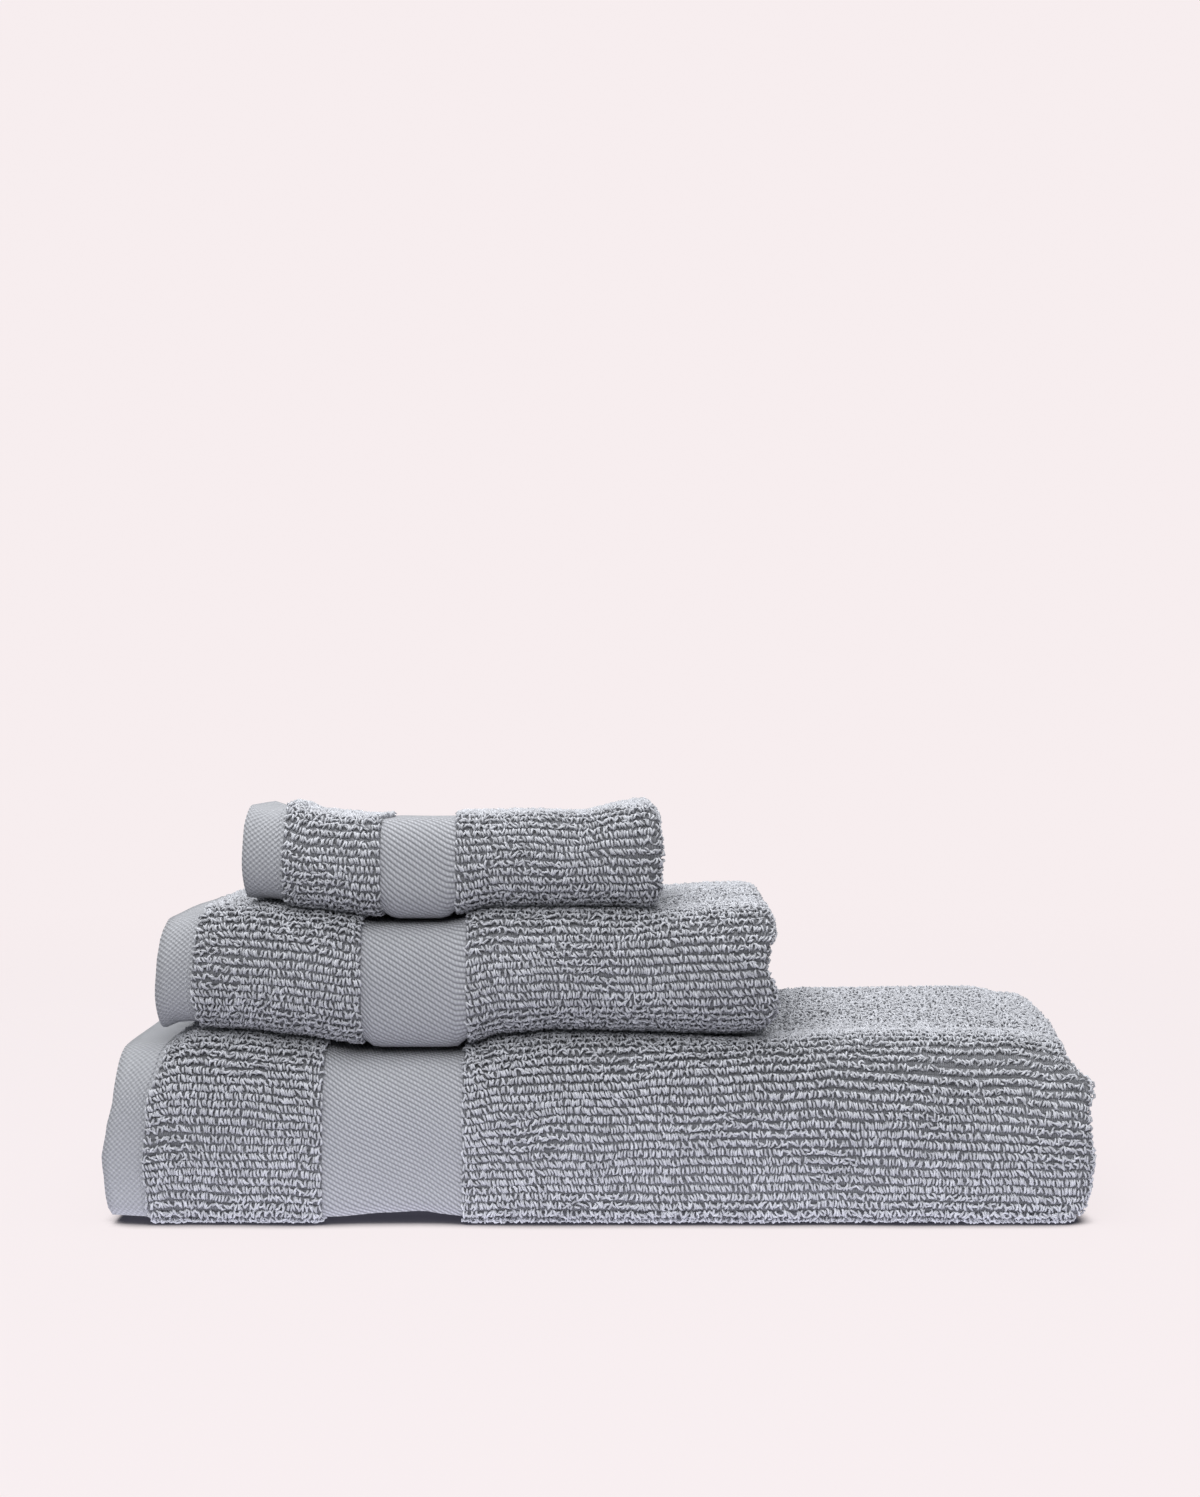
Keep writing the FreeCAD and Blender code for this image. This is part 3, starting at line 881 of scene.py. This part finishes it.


# Colour of dyed cotton: slow dye variation and fine flecks, darkened by a mask: painted shade in a weave's
# grooves, or a loop's own random tone.
def yarnShade():
    group, given, result = nodeGroup(
        "yarnShade",
        (("Yarn", "NodeSocketColor", (0.4, 0.4, 0.4, 1)), ("Fleck", "NodeSocketFloat", 0.1),
         ("Depth", "NodeSocketFloat", 0.0)),
        (("Color", "NodeSocketColor"),),
    )
    nodes, links = group.nodes, group.links
    place = nodes.new("ShaderNodeTexCoord")
    slow = nodes.new("ShaderNodeTexNoise")
    slow.inputs["Scale"].default_value = 14.0
    slow.inputs["Detail"].default_value = 2.0
    fine = nodes.new("ShaderNodeTexNoise")
    fine.inputs["Scale"].default_value = 900.0
    fine.inputs["Detail"].default_value = 2.0
    links.new(place.outputs["Object"], slow.inputs["Vector"])
    links.new(place.outputs["Object"], fine.inputs["Vector"])
    dye = mathNode(group, "MULTIPLY_ADD", slow.outputs["Fac"], 0.16, 0.92)
    centred = mathNode(group, "SUBTRACT", fine.outputs["Fac"], 0.5)
    fleck = mathNode(group, "MULTIPLY", centred, given.outputs["Fleck"])
    shade = mathNode(group, "ADD", dye, fleck)
    shade = mathNode(group, "MULTIPLY", shade, mathNode(group, "SUBTRACT", 1.0, given.outputs["Depth"]))
    scale = nodes.new("ShaderNodeVectorMath")
    scale.operation = "SCALE"
    links.new(given.outputs["Yarn"], scale.inputs[0])
    links.new(shade, scale.inputs["Scale"])
    links.new(scale.outputs[0], result.inputs["Color"])
    return group


def flatUv(tree):
    uv = tree.nodes.new("ShaderNodeUVMap")
    uv.uv_map = "flatCloth"
    split = tree.nodes.new("ShaderNodeSeparateXYZ")
    tree.links.new(uv.outputs[0], split.inputs[0])
    return split.outputs[0], split.outputs[1]


# Height of a twill: slanting rows of short stitches.
def twillWeave():
    group, given, result = nodeGroup(
        "twillWeave",
        (("Rise", "NodeSocketFloat", 0.65), ("Row Pitch", "NodeSocketFloat", 2.6 * mm),
         ("Stitch Pitch", "NodeSocketFloat", 1.7 * mm)),
        (("Height", "NodeSocketFloat"),),
    )
    u, v = flatUv(group)
    across = mathNode(group, "MULTIPLY_ADD", u, given.outputs["Rise"], v)
    row = mathNode(group, "DIVIDE", across, given.outputs["Row Pitch"])
    whole = mathNode(group, "FLOOR", row)
    inRow = mathNode(group, "PINGPONG", mathNode(group, "SUBTRACT", row, whole), 0.5)
    ridge = mathNode(group, "SINE", mathNode(group, "MULTIPLY", inRow, math.pi))
    shift = mathNode(group, "MULTIPLY", whole, 0.37)
    bead = mathNode(group, "ADD", mathNode(group, "DIVIDE", u, given.outputs["Stitch Pitch"]), shift)
    wave = mathNode(group, "SINE", mathNode(group, "MULTIPLY", bead, 2 * math.pi))
    bead = mathNode(group, "MULTIPLY_ADD", wave, 0.5, 0.5)
    height = mathNode(group, "MULTIPLY", ridge, mathNode(group, "MULTIPLY_ADD", bead, 0.45, 0.55))
    group.links.new(height, result.inputs["Height"])
    return group


# Height of a dotted weave: small raised points in staggered rows.
def dottedWeave():
    group, given, result = nodeGroup(
        "dottedWeave", (("Pitch", "NodeSocketFloat", 2.7 * mm),), (("Height", "NodeSocketFloat"),))
    u, v = flatUv(group)
    waves = []
    for axis in (u, v):
        turns = mathNode(group, "DIVIDE", axis, given.outputs["Pitch"])
        turns = mathNode(group, "MULTIPLY", turns, 2 * math.pi)
        waves.append(mathNode(group, "COSINE", turns))
    height = mathNode(group, "MULTIPLY_ADD", mathNode(group, "MULTIPLY", *waves), 0.5, 0.5)
    group.links.new(height, result.inputs["Height"])
    return group


# Height of terry seen as ribs of loops.
def ribbedWeave():
    group, given, result = nodeGroup(
        "ribbedWeave",
        (("Rib Pitch", "NodeSocketFloat", 4.0 * mm), ("Loop Pitch", "NodeSocketFloat", 1.1 * mm)),
        (("Height", "NodeSocketFloat"),),
    )
    u, v = flatUv(group)
    ribs = mathNode(group, "DIVIDE", v, given.outputs["Rib Pitch"])
    rib = mathNode(group, "PINGPONG", mathNode(group, "FRACT", ribs), 0.5)
    rib = mathNode(group, "POWER", mathNode(group, "MULTIPLY", rib, 2.0, clamp=True), 0.5)
    loops = mathNode(group, "DIVIDE", u, given.outputs["Loop Pitch"])
    loop = mathNode(group, "SINE", mathNode(group, "MULTIPLY", loops, 2 * math.pi))
    height = mathNode(group, "MULTIPLY", rib, mathNode(group, "MULTIPLY_ADD", loop, 0.25, 0.75))
    group.links.new(height, result.inputs["Height"])
    return group


shadeGroup, twillGroup, dotGroup, ribGroup = yarnShade(), twillWeave(), dottedWeave(), ribbedWeave()

finishes = {
    "terryLoops": {"yarn": (0.535, 0.545, 0.58), "fleck": 0.25, "bump": 0.25},
    # The ground cloth under the loops is coloured far darker than the loops: painted shade for the gaps
    # between them.
    "terryGround": {"yarn": (0.30, 0.306, 0.33), "fleck": 0.25, "bump": 0.9},
    "terryInside": {"yarn": (0.46, 0.47, 0.50), "fleck": 0.3, "bump": 1.0},
    "twillBand": {"yarn": (0.55, 0.56, 0.60), "fleck": 0.2, "bump": 0.85},
    "dottedHem": {"yarn": (0.46, 0.47, 0.50), "fleck": 0.2, "bump": 0.85},
    "seamThread": {"yarn": (0.46, 0.47, 0.50), "fleck": 0.1, "bump": 0.2},
}


def cottonMaterial(name, weave, distance, shadowed):
    values = finishes[name]
    material = bpy.data.materials.new(name)
    material.use_nodes = True
    tree = material.node_tree
    shader = tree.nodes["Principled BSDF"]
    shader.inputs["Roughness"].default_value = 0.92
    shader.inputs["Specular IOR Level"].default_value = 0.18
    shader.inputs["Sheen Weight"].default_value = 0.12
    shader.inputs["Sheen Roughness"].default_value = 0.6
    shade = tree.nodes.new("ShaderNodeGroup")
    shade.node_tree = shadeGroup
    shade.inputs["Yarn"].default_value = (*values["yarn"], 1)
    shade.inputs["Fleck"].default_value = values["fleck"]
    tree.links.new(shade.outputs["Color"], shader.inputs["Base Color"])
    bump = tree.nodes.new("ShaderNodeBump")
    bump.inputs["Strength"].default_value = values["bump"]
    bump.inputs["Distance"].default_value = distance
    if weave:
        pattern = tree.nodes.new("ShaderNodeGroup")
        pattern.node_tree = weave
        height = pattern.outputs["Height"]
        # Painted shade: the weave's low parts are darkened in colour by the shadowed share.
        depth = mathNode(tree, "MULTIPLY", mathNode(tree, "SUBTRACT", 1.0, height), shadowed)
        tree.links.new(depth, shade.inputs["Depth"])
    else:
        own = tree.nodes.new("ShaderNodeAttribute")
        own.attribute_name = "shade"
        tree.links.new(mathNode(tree, "SUBTRACT", 1.0, own.outputs["Fac"]), shade.inputs["Depth"])
        place = tree.nodes.new("ShaderNodeTexCoord")
        fibre = tree.nodes.new("ShaderNodeTexNoise")
        fibre.inputs["Scale"].default_value = 1600.0
        fibre.inputs["Detail"].default_value = 2.0
        tree.links.new(place.outputs["Object"], fibre.inputs["Vector"])
        height = fibre.outputs["Fac"]
    tree.links.new(height, bump.inputs["Height"])
    tree.links.new(bump.outputs["Normal"], shader.inputs["Normal"])
    return material


materials = {
    "terryLoops": cottonMaterial("terryLoops", None, 0.3 * mm, 0.0),
    "terryGround": cottonMaterial("terryGround", ribGroup, 1.2 * mm, 0.6),
    "terryInside": cottonMaterial("terryInside", ribGroup, 1.6 * mm, 0.45),
    "twillBand": cottonMaterial("twillBand", twillGroup, 0.8 * mm, 0.56),
    "dottedHem": cottonMaterial("dottedHem", dotGroup, 0.6 * mm, 0.34),
    "seamThread": cottonMaterial("seamThread", None, 0.2 * mm, 0.0),
}
print("materials made")


def dress(obj, *names):
    for name in names:
        obj.data.materials.append(materials[name])
    return obj


def segmentEnds(towel):
    return [0.0, *np.cumsum([piece["long"] for piece in widthPath(towel)]).tolist()]


# Terry under its loops, darkened as painted shade, twill and hem; then the same on the cloth's inner side,
# with bare terry.
clothFinishes = ("terryGround", "twillBand", "dottedHem", "terryInside", "twillBand", "dottedHem",
                 "terryInside")


def towelCloth(name, key, step, first=0, last=None):
    return foldedCloth(name, key, step, clothFinishes, first, last)


# A patch of pile over one zone of the outer length: border or field, with the end fold.
def pilePatch(name, key, zone, crossFrom, crossTo, pitch):
    towel = towels[key]
    stops, _ = zoneStops(towel)
    path = lengthPath(towel)
    margin = 0.1 * mm
    if zone == "border":
        a, b = stops[0] + margin, stops[1] - margin
    else:
        a, b = stops[2] + margin, path[0]["long"] + path[1]["long"] + pile["pastFold"]
    return dress(layPile(name, key, a, b, crossFrom, crossTo, pitch), "terryLoops")


fine, coarse = pile["finePitch"], pile["coarsePitch"]
pieces = []  # (object, body)

bathEnds = segmentEnds(towels["bath"])
bathCloth = towelCloth("bath_towel_cloth", "bath", 5.5 * mm)
pieces.append((bathCloth, "bath_towel"))
bathRollFrom, bathRollTo = bathEnds[1] - 22 * mm, bathEnds[2]
bathMiddle = (bathRollFrom + bathRollTo) / 2
bathTopSplit = bathEnds[2] + 58 * mm
bathFarSplit = bathEnds[3] - 12 * mm
for name, zone, a, b, pitch in (
    ("bath_pile_border_front", "border", bathRollFrom, bathRollTo, fine),
    ("bath_pile_border_top", "border", bathRollTo, bathEnds[4] + 4 * mm, coarse),
    ("bath_pile_field_low", "field", bathRollFrom, bathMiddle, fine),
    ("bath_pile_field_high", "field", bathMiddle, bathRollTo, fine),
    ("bath_pile_field_top", "field", bathRollTo, bathTopSplit, fine),
    ("bath_pile_field_back", "field", bathTopSplit, bathFarSplit, fine),
    ("bath_pile_field_far", "field", bathFarSplit, bathEnds[4] + 4 * mm, fine),
):
    pieces.append((pilePatch(name, "bath", zone, a, b, pitch), "bath_towel"))

handEnds = segmentEnds(towels["hand"])
handCloth = towelCloth("hand_towel_cloth", "hand", 5.0 * mm)
pieces.append((handCloth, "hand_towel"))
for name, zone, a, b, pitch in (
    ("hand_pile_border_front", "border", handEnds[3] - 16 * mm, handEnds[4], fine),
    ("hand_pile_border_top", "border", handEnds[4], handEnds[5], coarse),
    ("hand_pile_field_front", "field", handEnds[3] - 16 * mm, handEnds[4], fine),
    ("hand_pile_field_top", "field", handEnds[4], handEnds[5], fine),
    ("hand_pile_border_under", "border", handEnds[1], handEnds[3] - 16 * mm, coarse),
    ("hand_pile_field_under", "field", handEnds[1], handEnds[3] - 16 * mm, coarse),
):
    pieces.append((pilePatch(name, "hand", zone, a, b, pitch), "hand_towel"))

guestEnds = segmentEnds(towels["guest"])
guestCloth = towelCloth("guest_towel_cloth", "guest", 4.0 * mm, 0, 3)
leafCloth = towelCloth("guest_top_leaf_cloth", "guest", 4.0 * mm, 3, 5)
pieces.append((guestCloth, "guest_towel"))
leafPieces = [leafCloth]
for name, zone, a, b, pitch in (
    ("leaf_pile_border", "border", guestEnds[3], guestEnds[5], fine),
    ("leaf_pile_field", "field", guestEnds[3], guestEnds[5], fine),
):
    leafPieces.append(pilePatch(name, "guest", zone, a, b, pitch))
for name, zone, a, b, pitch in (
    ("guest_pile_border_under", "border", guestEnds[1], guestEnds[3], coarse),
    ("guest_pile_field_under", "field", guestEnds[1], guestEnds[3], coarse),
    ("guest_pile_border_inside", "border", guestEnds[0], guestEnds[1], coarse),
    ("guest_pile_field_inside", "field", guestEnds[0], guestEnds[1], coarse),
):
    pieces.append((pilePatch(name, "guest", zone, a, b, pitch), "guest_towel"))

seams = {
    "bath_towel": seam("bath_seam", "bath", bathEnds[1], bathEnds[4]),
    "hand_towel": seam("hand_seam", "hand", handEnds[1], handEnds[5]),
    "guest_towel": seam("guest_seam", "guest", guestEnds[1], guestEnds[3]),
    "guest_top_leaf": seam("leaf_seam", "guest", guestEnds[3], guestEnds[5]),
}
for body, obj in seams.items():
    if body != "guest_top_leaf":
        pieces.append((obj, body))
leafPieces.append(seams["guest_top_leaf"])
print("cloth, pile and seams laid")

for obj, body in pieces:
    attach(obj, body)
for obj in leafPieces:
    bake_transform(obj)

zoneNodes = ("end_hem", "terry_border", "dobby_band", "terry_field", "inner_layers")
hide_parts(*[f"bath_towel_{zone}" for zone in zoneNodes], "bath_towel_side_hem")
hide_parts(*[f"hand_towel_{zone}" for zone in zoneNodes], "hand_towel_side_hem")
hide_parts(*[f"guest_towel_{zone}" for zone in zoneNodes])
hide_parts(*[f"guest_top_leaf_{zone}" for zone in zoneNodes], "guest_top_leaf_side_hem")
for body, obj in seams.items():
    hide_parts(f"{body}_hem_stitching")
